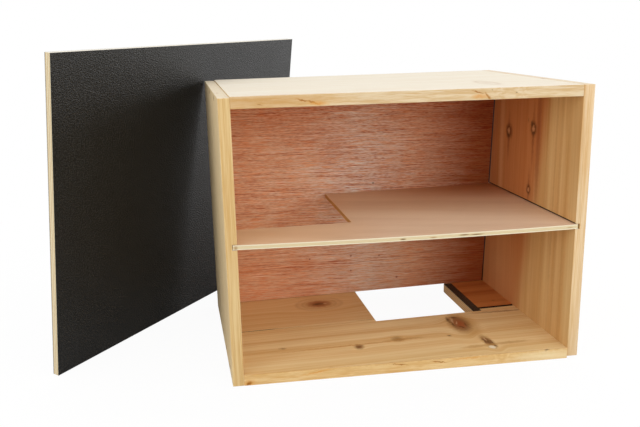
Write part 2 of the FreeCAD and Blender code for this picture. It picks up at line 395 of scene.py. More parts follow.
@dataclass(frozen=True)
class Spot:
    """One blemish, or one patch of painted light or shade: an ellipsoid in the joiner's millimetres, which
    may push the rings aside.

    Its fields are its look, its middle, its half lengths, its turn about each axis in degrees, how much it
    pushes the rings aside, whether its outline stays crisp on timber, and the direction that a face has to
    look in to show it.
    """

    look: Blemish
    centre: Triple
    reach: Triple
    turn: Triple = (0, 0, 0)
    bend: float = 0.0
    crisp: bool = False
    side: Optional[Triple] = None

    @classmethod
    def on_right_wall(cls, look: Blemish, y: float, z: float, half_y: float, half_z: float,
                      deep: float = 12.0, **more: Any) -> Spot:
        """Set a blemish on the inner face of the right wall.

        Args:
            look: how it looks.
            y: its place from the rim.
            z: its place up the wall.
            half_y: its reach along Y.
            half_z: its reach along Z.
            deep: its reach into the wall.
            **more: other fields of the blemish.

        Returns:
            The blemish.
        """
        return cls(look, (INNER_RIGHT, y, z), (deep, half_y, half_z), **more)

    @classmethod
    def on_planks(cls, look: Blemish, x: float, y: float, half_x: float, half_y: float,
                  turn: float = 0.0, deep: float = 10.0, **more: Any) -> Spot:
        """Set a blemish on the inner face of the front planks.

        Args:
            look: how it looks.
            x: its place from the left.
            y: its place from the rim.
            half_x: its reach along X.
            half_y: its reach along Y.
            turn: its turn on the face, in degrees.
            deep: its reach into the plank.
            **more: other fields of the blemish.

        Returns:
            The blemish.
        """
        return cls(look, (x, y, BOARD), (half_x, half_y, deep), (0, 0, turn), **more)

    @classmethod
    def facing_rim(cls, look: Blemish, centre: Triple, half_x: float, half_z: float,
                   turn: float = 0.0, deep: float = 8.0, **more: Any) -> Spot:
        """Set a blemish on a face that looks out of the open top.

        Args:
            look: how it looks.
            centre: its middle.
            half_x: its reach along X.
            half_z: its reach along Z.
            turn: its turn on the face, in degrees.
            deep: its reach into the face.
            **more: other fields of the blemish.

        Returns:
            The blemish.
        """
        return cls(look, centre, (half_x, deep, half_z), (0, turn, 0), **more)

    def lay(self, bench: Bench, place: Wire, colour: Wire) -> Wire:
        """Tint a colour where the blemish is.

        Args:
            bench: the material's bench.
            place: the place on the house.
            colour: the colour under the blemish.

        Returns:
            The tinted colour.
        """
        far = bench.around(place, self.centre, self.reach, self.turn)
        tint = bench.ramp(far, self.look.value)
        alpha = tint.sibling(1)
        if self.side:
            alpha = alpha * bench.looking(self.side)
        return bench.mix(colour, tint, alpha)


@dataclass(frozen=True)
class Streaks:
    """A noise drawn out along the fibres.

    Its fields are its stretch along them, its grains per millimetre, its detail and its weight.
    """

    stretch: float
    scale: float
    detail: float = 2.0
    weight: float = 1.0

    def on(self, bench: Bench, along: Value, across: Value, through: Value) -> Wire:
        """Lay the noise on a surface, by the place along, across and through its fibres."""
        return bench.noise(bench.join(along * self.stretch, across, through), self.scale, self.detail)

    def weigh(self, noise: Wire) -> Wire:
        """Centre the noise on 0 and weigh it."""
        return (noise - 0.5) * self.weight


@dataclass(frozen=True)
class Finish:
    """The look of a surface, whose pattern is put together on a bench of its own."""

    def make(self, name: str) -> bpy.types.Material:
        """Make the material under a name."""
        return self.pattern(Bench(bpy.data.materials.new(name)))

    def pattern(self, bench: Bench) -> bpy.types.Material:
        """Put the pattern together, which each finish does in its own way."""
        raise NotImplementedError


@dataclass(frozen=True)
class PineFinish(Finish):
    """Planed, unvarnished softwood with rings, fibres, heartwood, knots and streaks."""

    grain: Grain
    # Palest and deepest tone of the timber
    pale: str = "#e3c492"
    deep: str = "#cf9f5e"
    # Pith, by its place across and through the board, and the years around it with their dark late wood
    pith: Pair = (150.0, -160.0)
    ring: float = 9.0
    years: Streaks = Streaks(1.0, 0.045, 1.0, 3.0)
    growth: Pair = (0.25, 0.9)
    standstill: Pair = (1.0, 0.93)
    late: float = 0.2
    # Drift of the rings, and the multiple of its own reach over which a knot pushes them aside
    drift: Streaks = Streaks(0.12, 0.011, 1.5)
    wave: float = 26.0
    bend_reach: float = 2.2
    # Fine fibres, broad bands and narrow bands, which share in the tone
    fibres: Streaks = Streaks(0.02, 1.3, 3.0, 0.6)
    broad: Streaks = Streaks(0.025, 0.055)
    broad_edges: Pair = (0.3, 0.72)
    bands: float = 0.28
    narrow: Streaks = Streaks(0.02, 0.3)
    narrow_middle: float = 0.42
    # Faces with a colour of their own, partly the timber's cut and partly painted light, the faces that look
    # up palest: where each looks, its colour and the depth of its lines
    faces: tuple[tuple[Triple, str, float], ...] = ()
    face_share: float = 0.85
    line_narrow: float = 0.55
    line_fibre: float = 0.45
    line_edges: Pair = (0.38, 0.62)
    lines_tint: str = "#ebd9bd"
    # Heartwood and painted shade, which set in between two places across the board, or nowhere where they
    # are 0
    heart_and_shade: Pair = (0.0, 0.0)
    heart_and_shade_slope: float = 0.0
    heart_and_shade_sway: float = 18.0
    heart_and_shade_share: float = 0.9
    heart_and_shade_tint: str = "#c98f6c"
    # Blemishes and patches of painted light and shade, and the push and the scale of the noise that makes
    # them ragged
    spots: tuple[Spot, ...] = ()
    rag: float = 5.0
    rag_scale: float = 0.22
    sheen: Sheen = Sheen(rough=0.5, swing=0.22, relief=0.25, strength=0.35, specular=0.2)

    def lines(self, bench: Bench, place: Wire, along: Wire, across: Wire, through: Wire) -> Wire:
        """Give the place across the board after the fibres' drift and the knots have pushed it aside.

        Args:
            bench: the material's bench.
            place: the place on the house.
            along: the place along the fibres.
            across: the place across the board.
            through: the place through its thickness.

        Returns:
            The place across the board that the rings follow.
        """
        drift = self.drift.on(bench, along, across, through)
        moved = across + (drift - 0.5) * self.wave
        for spot in self.spots:
            if spot.bend:
                wide = tuple(self.bend_reach * r for r in spot.reach)
                near = bench.step(bench.around(place, spot.centre, wide, spot.turn), 1.0, 0.0)
                moved = moved - (across - spot.centre[self.grain.value[1]]) * near * spot.bend
        return moved

    def late_wood(self, bench: Bench, moved: Wire, through: Wire) -> Wire:
        """Give the dark wood of each year, which builds up slowly and ends at once.

        Args:
            bench: the material's bench.
            moved: the place across the board that the rings follow.
            through: the place through its thickness.

        Returns:
            The share of dark wood.
        """
        sideways = moved - self.pith[0]
        deep = through - self.pith[1]
        radius = (sideways * sideways + deep * deep) ** 0.5
        uneven = self.years.on(bench, radius, 0.0, 0.0) * self.years.weight
        year = bench.sum("FRACT", radius / self.ring + uneven)
        return bench.step(year, *self.growth) * bench.step(year, *self.standstill)

    def pattern(self, bench: Bench) -> bpy.types.Material:
        """Put the timber's pattern together.

        Args:
            bench: the material's bench.

        Returns:
            The material.
        """
        place = bench.house_place()
        axes = bench.split(place)
        along, across, through = (axes[i] for i in self.grain.value)
        moved = self.lines(bench, place, along, across, through)
        late = self.late_wood(bench, moved, through)
        fibre = self.fibres.on(bench, along, across, through)
        broad = self.broad.on(bench, along, moved, through)
        narrow = self.narrow.on(bench, along, moved, through)
        tone = late * self.late + bench.step(broad, *self.broad_edges) * self.bands
        tone = tone + (narrow - self.narrow_middle) + self.fibres.weigh(fibre)
        colour = bench.mix(paint(self.pale), paint(self.deep), bench.limit(tone))
        if self.heart_and_shade[1]:
            inward = moved + along * self.heart_and_shade_slope + (broad - 0.5) * self.heart_and_shade_sway
            red = bench.step(inward, *self.heart_and_shade)
            colour = bench.stain(colour, paint(self.heart_and_shade_tint), red * self.heart_and_shade_share)
        line = bench.step(narrow * self.line_narrow + fibre * self.line_fibre, *self.line_edges)
        for direction, code, depth in self.faces:
            lined = bench.stain(paint(code), paint(self.lines_tint), line * depth)
            colour = bench.mix(colour, lined, bench.looking(direction) * self.face_share)
        ragged = bench.shifted(place, bench.noise(place, self.rag_scale, output=1), self.rag)
        for spot in self.spots:
            colour = spot.lay(bench, place if spot.crisp else ragged, colour)
        return bench.surface(colour, self.sheen, fibre, (late + fibre) * 0.5)


@dataclass(frozen=True)
class RedVeneerFinish(Finish):
    """Rotary-cut reddish hardwood veneer with fine streaks and flecks, on thin plywood."""

    # Tones of the veneer and their places on its ramp, where the middle one stands twice
    dark: str = "#ba7352"
    middle: str = "#e6d3c6"
    pale: str = "#f8f5f2"
    tone_places: tuple[float, ...] = (0.29, 0.45, 0.53, 0.68)
    # Tints from left to right, which the broad streaks sway; the dark red at the right is partly the veneer
    # and partly painted shade
    across_tints_and_shade: Stops = (
        (0.0, "#f6cfb0", 1), (0.3, "#f6d8c3", 1), (0.5, "#ffffff", 1), (0.68, "#f1d4bf", 1),
        (0.92, "#af6f44", 1))
    tint_sway: float = 90.0
    # Painted shade from the ground up: a little darker at the bottom, and darker at the top under the rear
    # wall
    upward_painted_shade: Stops = (
        (0.0, "#fbeee2", 1), (0.2, "#fffaf4", 1), (0.5, "#ffffff", 1), (0.62, "#ffffff", 1),
        (0.95, "#efd6c4", 1))
    # Lie of the streaks: how they sway and slope, and how little they change through the sheet
    sway: Streaks = Streaks(0.5, 0.012, 1.0, 4.0)
    slope: float = 0.02
    depth_share: float = 0.2
    # Streaks, flecks and patches, which share in the tone
    fine: Streaks = Streaks(0.012, 2.1, 0.5, 0.8)
    line: Streaks = Streaks(0.02, 1.05, 0.5, 0.32)
    fleck: Streaks = Streaks(0.08, 2.1, 0.5, 0.6)
    broad: Streaks = Streaks(0.03, 0.13, 2.0, 0.12)
    patch: Streaks = Streaks(0.5, 0.014, 1.0, 0.22)
    # Heights between which fine streaks and flecks come to their whole weight, and their shares of it below
    lively: Pair = (60.0, 220.0)
    calm_fine: float = 0.8
    calm_fleck: float = 0.5
    # Dark pores
    pore_tint: str = "#8a4326"
    pores: Streaks = Streaks(0.03, 1.7, 1.0, 0.2)
    pore_edges: Pair = (0.62, 0.72)
    pore_depth: float = 0.6
    # Warm streaks, which lie apart from the others
    warm_tint: str = "#ffcda4"
    warm: Streaks = Streaks(0.04, 1.6, 0.5, 0.8)
    warm_edges: Pair = (0.42, 0.64)
    warm_offset: float = 31.0
    # Sawn edges of the sheet, and its small marks
    edge: str = "#c9a67c"
    edge_share: float = 0.8
    pins: tuple[Spot, ...] = ()
    sheen: Sheen = Sheen(rough=0.58, swing=0.1, relief=0.2, strength=0.4, specular=0.2)

    def pattern(self, bench: Bench) -> bpy.types.Material:
        """Put the veneer's streaks, flecks, pores and broad patches together.

        Args:
            bench: the material's bench.

        Returns:
            The material.
        """
        place = bench.house_place()
        x, y, z = bench.split(place)
        level = z + self.sway.weigh(self.sway.on(bench, x, y, z)) + x * self.slope
        flat = y * self.depth_share
        kinds = (self.fine, self.line, self.fleck, self.broad, self.patch, self.pores)
        fine, line, fleck, broad, patch, pores = (kind.on(bench, x, flat, level) for kind in kinds)
        lively = bench.step(z, *self.lively)
        tone = self.fine.weigh(fine) * lively.lifted(self.calm_fine) + self.line.weigh(line)
        tone = tone + self.fleck.weigh(fleck) * lively.lifted(self.calm_fleck)
        tone = tone + self.broad.weigh(broad) + self.patch.weigh(patch) + 0.5
        codes = (self.dark, self.middle, self.middle, self.pale)
        colour = bench.ramp(tone, tuple((stop, code, 1) for stop, code in zip(self.tone_places, codes)))
        across = (x + (broad - 0.5) * self.tint_sway) / HOUSE_WIDTH
        colour = bench.stain(colour, bench.ramp(across, self.across_tints_and_shade), 1.0)
        colour = bench.stain(colour, bench.ramp(z / HOUSE_DEPTH, self.upward_painted_shade), 1.0)
        pore = bench.step(pores, *self.pore_edges)
        colour = bench.mix(colour, paint(self.pore_tint), pore * self.pores.weight)
        warm = bench.step(self.warm.on(bench, x, flat, level + self.warm_offset), *self.warm_edges)
        colour = bench.stain(colour, paint(self.warm_tint), warm * self.warm.weight)
        for pin in self.pins:
            colour = pin.lay(bench, place, colour)
        colour = bench.mix(colour, paint(self.edge), bench.edges(1) * self.edge_share)
        return bench.surface(colour, self.sheen, fine - pore, fine - pore * self.pore_depth)


@dataclass(frozen=True)
class Hang:
    """How far a sheet hangs between the walls, most at the middle of its free edge, in millimetres."""

    sag: float
    left: float
    right: float
    rim: float
    foot: float

    def drop(self, x: Value, y: Value) -> Value:
        """Give the drop at a place on the sheet, for numbers or for wires.

        Args:
            x: the place from the left.
            y: the place from the rim.

        Returns:
            The drop.
        """
        across = (x - self.left) / (self.right - self.left)
        inward = (y - self.rim) / (self.foot - self.rim)
        return across * (1 - across) * (1 - inward) * (4 * self.sag)


@dataclass(frozen=True)
class SmoothVeneerFinish(Finish):
    """Sanded pale plywood whose long edges show its plies."""

    hang: Hang
    # Tones of the faces, by slanting clouds and fine fibres
    face: str = "#f2d6ba"
    shade: str = "#dcb898"
    tone_start: float = 0.1
    slant: float = 0.32
    cloud: Streaks = Streaks(0.12, 0.02, 2.0, 0.6)
    cloud_edges: Pair = (0.3, 0.7)
    fibres: Streaks = Streaks(0.03, 1.1, 3.0, 0.7)
    # Painted shade of the inner part, which deepens away from the rim and from left to right
    painted_inner_shade: str = "#cb9a77"
    painted_shade_from_rim: Pair = (110.0, 260.0)
    painted_shade_from_left: Pair = (180.0, 420.0)
    painted_shade_least: float = 0.2
    # Plies and glue lines of the edges, by their places in the thickness of the flat sheet
    bottom: float = 175.7
    thick: float = 6.0
    edge: str = "#e2d8ba"
    core: str = "#d6c49c"
    lower_glue: str = "#c6a872"
    upper_glue: str = "#ccb07a"
    ply_places: tuple[float, ...] = (0.0, 0.24, 0.28, 0.33, 0.66, 0.71, 0.76, 1.0)
    ply_fuzz: float = 0.06
    # Sawn edge of the doorway, which looks to the left
    cut: str = "#c08c45"
    cut_share: float = 0.85
    # Marks of wear, and patches of painted light and shade
    marks: tuple[Spot, ...] = ()
    sheen: Sheen = Sheen(rough=0.5, swing=0.15, relief=0.12, strength=0.3, specular=0.25)

    def plies(self, bench: Bench, z: Wire, fibre: Wire) -> Wire:
        """Give the colour of the three plies and their glue lines.

        Args:
            bench: the material's bench.
            z: the height of the place on the flat sheet.
            fibre: the fibres' noise, which makes the lines uneven.

        Returns:
            The colour.
        """
        level = (z - self.bottom) / self.thick + (fibre - 0.5) * self.ply_fuzz
        outer = (self.edge, self.edge)
        codes = (*outer, self.lower_glue, self.core, self.core, self.upper_glue, *outer)
        return bench.ramp(level, tuple((stop, code, 1) for stop, code in zip(self.ply_places, codes)))

    def pattern(self, bench: Bench) -> bpy.types.Material:
        """Put the faces, the ply lines and the marks together.

        Args:
            bench: the material's bench.

        Returns:
            The material.
        """
        x, y, z = bench.split(bench.house_place())
        z = z + self.hang.drop(x, y)
        cloud = self.cloud.on(bench, x, y + x * self.slant, z)
        fibre = self.fibres.on(bench, x, y, z)
        tone = bench.step(cloud, *self.cloud_edges) * self.cloud.weight + self.fibres.weigh(fibre)
        colour = bench.mix(paint(self.face), paint(self.shade), tone + self.tone_start)
        rightward = bench.step(x, *self.painted_shade_from_left).lifted(self.painted_shade_least)
        painted_inner_shade = bench.step(y, *self.painted_shade_from_rim) * rightward
        colour = bench.stain(colour, paint(self.painted_inner_shade), painted_inner_shade)
        doorway = bench.looking((-1, 0, 0)) * self.cut_share
        sawn = bench.mix(self.plies(bench, z, fibre), paint(self.cut), doorway)
        colour = bench.mix(colour, sawn, bench.edges(2))
        flat = bench.join(x, y, z)
        for mark in self.marks:
            colour = mark.lay(bench, flat, colour)
        return bench.surface(colour, self.sheen, fibre, fibre)


@dataclass(frozen=True)
class PanelPlace:
    """Where a flat panel stands: its front lower corner at one end, its own three axes and its size."""

    corner: Vector
    along: Vector
    up: Vector
    out: Vector
    size: Triple

    def matrix(self) -> Matrix:
        """Give the turn from the panel's axes to the model's."""
        return Matrix((self.along, self.up, self.out)).transposed()

    def on(self, bench: Bench) -> Wire:
        """Give the place on the panel in millimetres: along, up and out of its front face."""
        here = bench.node("TexCoord", {}, "Object")
        return bench.node("Mapping", {"Vector": here, "Location": self.corner, "Scale": (MM,) * 3,
                                      "Rotation": self.matrix().to_euler()}, vector_type="TEXTURE")


@dataclass(frozen=True)
class FilmFinish(Finish):
    """Black phenolic film, pressed to a pebbled anti-slip face or left smooth."""

    place: PanelPlace
    # Colours of the film and of its pebble tops, lighter partly from wear and partly as painted glints
    dark: str = "#020202"
    wear_and_glint: str = "#3e3c39"
    # Pebbles per millimetre, their stretch and outline, and their share in the relief
    pebble: float = 0.65
    pebble_stretch: float = 0.7
    pebble_edges: Pair = (0.3, 0.7)
    pebble_share: float = 0.75
    # How many times finer the fine pebbles are, and their share in the roughness
    fine_pebble: float = 3.4
    fine_wear: float = 0.6
    # Scuffs, which lighten the higher pebbles, partly as wear and partly as painted glints
    scuff_scale: float = 0.02
    scuff_least: float = 0.2
    scuff_share: float = 0.5
    wear_and_glint_edges: Pair = (0.58, 0.72)
    sheen: Sheen = Sheen(rough=0.27, swing=0.2, relief=0.45, strength=1.0, specular=0.34)

    def pattern(self, bench: Bench) -> bpy.types.Material:
        """Put the film's pebbles and scuffs together.

        Args:
            bench: the material's bench.

        Returns:
            The material.
        """
        place = self.place.on(bench)
        u, v, w = bench.split(place)
        pebble = Streaks(self.pebble_stretch, self.pebble, 1.0).on(bench, u, v, w)
        fine = Streaks(self.pebble_stretch, self.pebble * self.fine_pebble).on(bench, u, v, w)
        scuff = bench.noise(place, self.scuff_scale, detail=3.0)
        height = bench.step(pebble, *self.pebble_edges) * self.pebble_share + fine * (1 - self.pebble_share)
        wear_and_glint_share = bench.step(height, *self.wear_and_glint_edges) * (self.scuff_least + scuff * self.scuff_share)
        colour = bench.mix(paint(self.dark), paint(self.wear_and_glint), wear_and_glint_share)
        wear = fine * self.fine_wear + scuff * (1 - self.fine_wear)
        return bench.surface(colour, self.sheen, wear, height)


@dataclass(frozen=True)
class PlyEdgeFinish(Finish):
    """Sawn edge of plywood, whose plies lie along and across by turns."""

    place: PanelPlace
    # Plies, which take two colours by turns, and the noise that makes them uneven
    plies: int = 7
    pale: str = "#eadfbe"
    tan: str = "#cfb58c"
    ply_edges: Pair = (0.42, 0.58)
    fuzz: Streaks = Streaks(0.06, 1.5, 2.0, 0.22)
    # Glue lines and open pores
    glue: str = "#a88a5c"
    line_edges: Pair = (0.1, 0.02)
    line_share: float = 0.5
    pores: Streaks = Streaks(0.12, 0.9, 3.0, 0.4)
    pore_edges: Pair = (0.62, 0.75)
    # Painted light: edges that look up, paler as if lit from above
    painted_lit_top: str = "#fbf6ea"
    painted_lit_top_share: float = 0.8
    sheen: Sheen = Sheen(rough=0.68, swing=0.15, relief=0.2, strength=0.4, specular=0.3)

    def pattern(self, bench: Bench) -> bpy.types.Material:
        """Put the plies and their glue lines together.

        Args:
            bench: the material's bench.

        Returns:
            The material.
        """
        u, v, w = bench.split(self.place.on(bench))
        fuzz, pores = (kind.on(bench, u, v * kind.stretch, w) for kind in (self.fuzz, self.pores))
        depth = w * (self.plies / self.place.size[2] * MM) + self.fuzz.weigh(fuzz)
        turn = bench.sum("PINGPONG", depth + 0.5, 1.0)
        colour = bench.mix(paint(self.pale), paint(self.tan), bench.step(turn, *self.ply_edges))
        line = bench.step(abs(turn - 0.5), *self.line_edges) * self.line_share
        dark = line + bench.step(pores, *self.pore_edges) * self.pores.weight
        colour = bench.mix(colour, paint(self.glue), dark)
        colour = bench.mix(colour, paint(self.painted_lit_top), bench.looking((0, 0, 1)) * self.painted_lit_top_share)
        return bench.surface(colour, self.sheen, fuzz, fuzz - line)


@dataclass(frozen=True)
class SteelFinish(Finish):
    """Yellow-passivated steel of the screws, dulled and stained by the timber."""

    bright: str = "#b08a56"
    stained: str = "#7a4a28"
    stain_scale: float = 0.5
    stain_edges: Pair = (0.35, 0.65)
    fine_scale: float = 6.0
    fine_wear: float = 0.4
    sheen: Sheen = Sheen(rough=0.32, swing=0.25, relief=0.05, strength=0.3, metallic=0.85)

    def pattern(self, bench: Bench) -> bpy.types.Material:
        """Put the passivated colour and its stains together.

        Args:
            bench: the material's bench.

        Returns:
            The material.
        """
        place = bench.house_place()
        stain = bench.step(bench.noise(place, self.stain_scale, detail=3.0), *self.stain_edges)
        fine = bench.noise(place, self.fine_scale)
        colour = bench.mix(paint(self.bright), paint(self.stained), stain)
        return bench.surface(colour, self.sheen, stain + fine * self.fine_wear, fine)


@dataclass
class SubAssembly:
    """A group of pieces that move together and are built around their CAD nodes.

    Its fields are the frame, the body that the pieces ride on, how far their edges are eased in
    millimetres, and two angles in degrees: faces that meet at less than the first are one, and edges that
    turn by more than the second are sharp.
    """

    frame: dict[str, Any]
    body: str = "house"
    arris: float = 0.7
    flat_angle: float = 1.0
    sharp_angle: float = 30.0

    def node_copy(self, node: str) -> bmesh.types.BMesh:
        """Copy a CAD node's mesh, joined up and with its flat faces whole.

        Args:
            node: the CAD node's name.

        Returns:
            The joined copy.
        """
        shape = bmesh.new()
        shape.from_mesh(self.frame["nodes"][node].data)
        bmesh.ops.remove_doubles(shape, verts=shape.verts, dist=ONE_POINT * MM)
        bmesh.ops.dissolve_limit(shape, angle_limit=math.radians(self.flat_angle), verts=shape.verts,
                                 edges=shape.edges)
        return shape

    def ease(self, shape: bmesh.types.BMesh, width: float, shortest: float = 4.0) -> None:
        """Take the sharpness off the outer edges of a shape.

        Args:
            shape: the shape.
            width: how far each edge is eased, in millimetres.
            shortest: the length that an edge has to pass, in millimetres.
        """
        least = math.radians(self.sharp_angle)
        sharp = [e for e in shape.edges if e.is_manifold and e.is_convex
                 and e.calc_face_angle() > least and e.calc_length() > shortest * MM]
        bmesh.ops.bevel(shape, geom=sharp, offset=width * MM, offset_type="OFFSET", segments=2, profile=0.5,
                        affect="EDGES", clamp_overlap=True, material=-1)

    def place_piece(self, shape: bmesh.types.BMesh, name: str, *nodes: str) -> bpy.types.Object:
        """Make a piece from a shape and set it on its body.

        Args:
            shape: the finished shape, which is freed.
            name: the piece's name.
            *nodes: the CAD nodes that it stands for.

        Returns:
            The piece.
        """
        mesh = bpy.data.meshes.new(name)
        shape.to_mesh(mesh)
        shape.free()
        piece = bpy.data.objects.new(name, mesh)
        bpy.context.scene.collection.objects.link(piece)
        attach(piece, self.body)
        if nodes:
            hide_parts(*nodes)
        LOG.info("%s: %d faces on %s", name, len(mesh.polygons), self.body)
        return piece

    def dress(self, piece: bpy.types.Object, slot: str, material: bpy.types.Material) -> None:
        """Give a piece its material; the record's slot that it comes from is not used."""
        piece.data.materials.append(material)

    def board(self, node: str, finish: PineFinish) -> None:
        """Build one planed board with eased edges in place of its CAD node, and dress it.

        Args:
            node: the CAD node's name.
            finish: the look of its timber.
        """
        shape = self.node_copy(node)
        self.ease(shape, self.arris)
        piece = self.place_piece(shape, node + "_board", node)
        self.dress(piece, "pine_board", finish.make(node + "_pine"))


@dataclass
class Shell(SubAssembly):
    """The two side walls and the rear wall."""

    left: PineFinish = PineFinish(
        Grain.UPRIGHT, pale="#e6cb9a", deep="#d2a566", pith=(120, 130), ring=11,
        faces=(((-1, 0, 0), "#f9e1b4", 0.4), ((0, 0, 1), "#f1e5cd", 0.3), ((0, -1, 0), "#dbbf8a", 1)),
        spots=(
            Spot(Blemish.SCRATCH, (0, 126, 83), (3, 9, 0.8), (28, 0, 0)),
            Spot(Blemish.SCRATCH, (0, 82, 82), (3, 6, 0.7), (40, 0, 0)),
            Spot(Blemish.RESIN, (4, 95, 355), (4, 4, 3)),
            Spot(Blemish.PIN, (0, 90, 1), (4, 9, 4)),
        ))
    right: PineFinish = PineFinish(
        Grain.UPRIGHT, pale="#deb87f", deep="#c79250", pith=(190, 330), ring=15, bands=0.35, late=0.1,
        # Its heartwood tint, deeper from the rim, is partly the wood and partly painted shade
        heart_and_shade=(134, 176), heart_and_shade_slope=0.2, heart_and_shade_tint="#e4b19a",
        faces=(((1, 0, 0), "#d8bb8a", 0.5), ((0, 0, 1), "#f2e7d0", 0.3), ((0, -1, 0), "#e2c9a4", 1),
               ((0, 1, 0), "#cfae7c", 0.6)),
        spots=(
            *(Spot.on_right_wall(Blemish.DARK_STREAK, y, 180, half_y, 420)
              for y, half_y in ((29, 5), (47, 4), (60, 3), (82, 4))),
            Spot.on_right_wall(Blemish.PALE_STREAK, 11, 80, 16, 150),
            Spot.on_right_wall(Blemish.DARK_STREAK, 12, 290, 22, 110),
            Spot.on_right_wall(Blemish.PALE_STREAK, 71, 150, 6, 420),
            # Painted light: pale patches deeper in the house, over the far lower chamber and in an upright
            # strip
            Spot.on_right_wall(Blemish.PAINTED_SOFT_LIGHT, 222, 62, 100, 120),
            Spot.on_right_wall(Blemish.PAINTED_SOFT_LIGHT, 222, 250, 12, 260),
            Spot.on_right_wall(Blemish.RED_STREAK, 108, 290, 8, 130),
            Spot.on_right_wall(Blemish.FLAME, 123, 276, 5, 50),
            Spot.on_right_wall(Blemish.EYE, 123, 286, 11, 13, deep=14, bend=0.8),
            Spot.on_right_wall(Blemish.BARK_AND_SHADE, 128, 292, 5, 7, deep=10),
            Spot.on_right_wall(Blemish.BARK_AND_SHADE, 121, 280, 5, 3.5, deep=10),
            Spot.on_right_wall(Blemish.FLAME, 199, 268, 5, 44),
            Spot.on_right_wall(Blemish.EYE, 199, 273, 12, 14, deep=14, bend=0.8),
            Spot.on_right_wall(Blemish.BARK_AND_SHADE, 200, 266.5, 5, 5, deep=10),
            Spot.on_right_wall(Blemish.FLAME, 191, 273, 6, 14, deep=10),
            Spot.on_right_wall(Blemish.FLAME, 130, 200, 4, 34),
            Spot.on_right_wall(Blemish.EYE, 130, 199, 8, 9, deep=14, bend=0.8),
            Spot.on_right_wall(Blemish.SMUDGE_AND_SHADE, 139, 296, 2.5, 5, deep=8),
            # Painted shade: a dark strip in the gap behind the floor panel, and a dark line where the
            # partition meets the wall
            Spot.on_right_wall(Blemish.SHADE_IN_GAP, 266.5, 177, 5.5, 900, deep=2, turn=(4.55, 0, 0), crisp=True,
                               side=(-1, 0, 0)),
            Spot.on_right_wall(Blemish.SHADE_IN_GAP, 130, 182.6, 300, 1.3, deep=2, crisp=True, side=(-1, 0, 0)),
        ))
    rear: PineFinish = PineFinish(
        Grain.SIDEWAYS, pale="#e8d0a4", deep="#d6b075", pith=(60, 560), ring=13,
        faces=(((0, 0, 1), "#f8f2e4", 0.3), ((0, -1, 0), "#d9c4a2", 1)),
        spots=(
            Spot(Blemish.FIGURE, (344, 78, 355), (16, 46, 20), bend=0.7),
            # Painted shade: the left part of the rim darker and warmer, where less light falls on it
            Spot.facing_rim(Blemish.WASH_AND_SHADE, (50, 22, 348), 130, 12, deep=12),
            Spot.facing_rim(Blemish.RESIN, (96, 19, 348), 10, 1.5, turn=12),
            Spot.facing_rim(Blemish.RESIN, (108, 18, 345.5), 9, 1.8, turn=14),
            Spot.facing_rim(Blemish.AMBER, (114, 18, 344), 15, 3.2, turn=2),
            Spot.facing_rim(Blemish.RESIN, (303, 7, 350.5), 10, 1.4, turn=16),
            Spot.facing_rim(Blemish.RESIN, (315, 6, 346), 7.5, 2.0, turn=46),
            Spot.facing_rim(Blemish.AMBER, (305, 7, 345.5), 14, 3.4),
            Spot.facing_rim(Blemish.DOT, (320, 6, 352), 1.3, 1.0, deep=6),
            Spot.facing_rim(Blemish.DOT, (350, 5, 348), 1.5, 1.1, deep=6),
            Spot.facing_rim(Blemish.SMUDGE_AND_SHADE, (47, 22, 345), 4, 1.3, turn=10, deep=6),
        ))

    def build(self) -> None:
        """Build and dress the three boards."""
        self.board("left_wall", self.left)
        self.board("right_wall", self.right)
        self.board("rear_wall", self.rear)


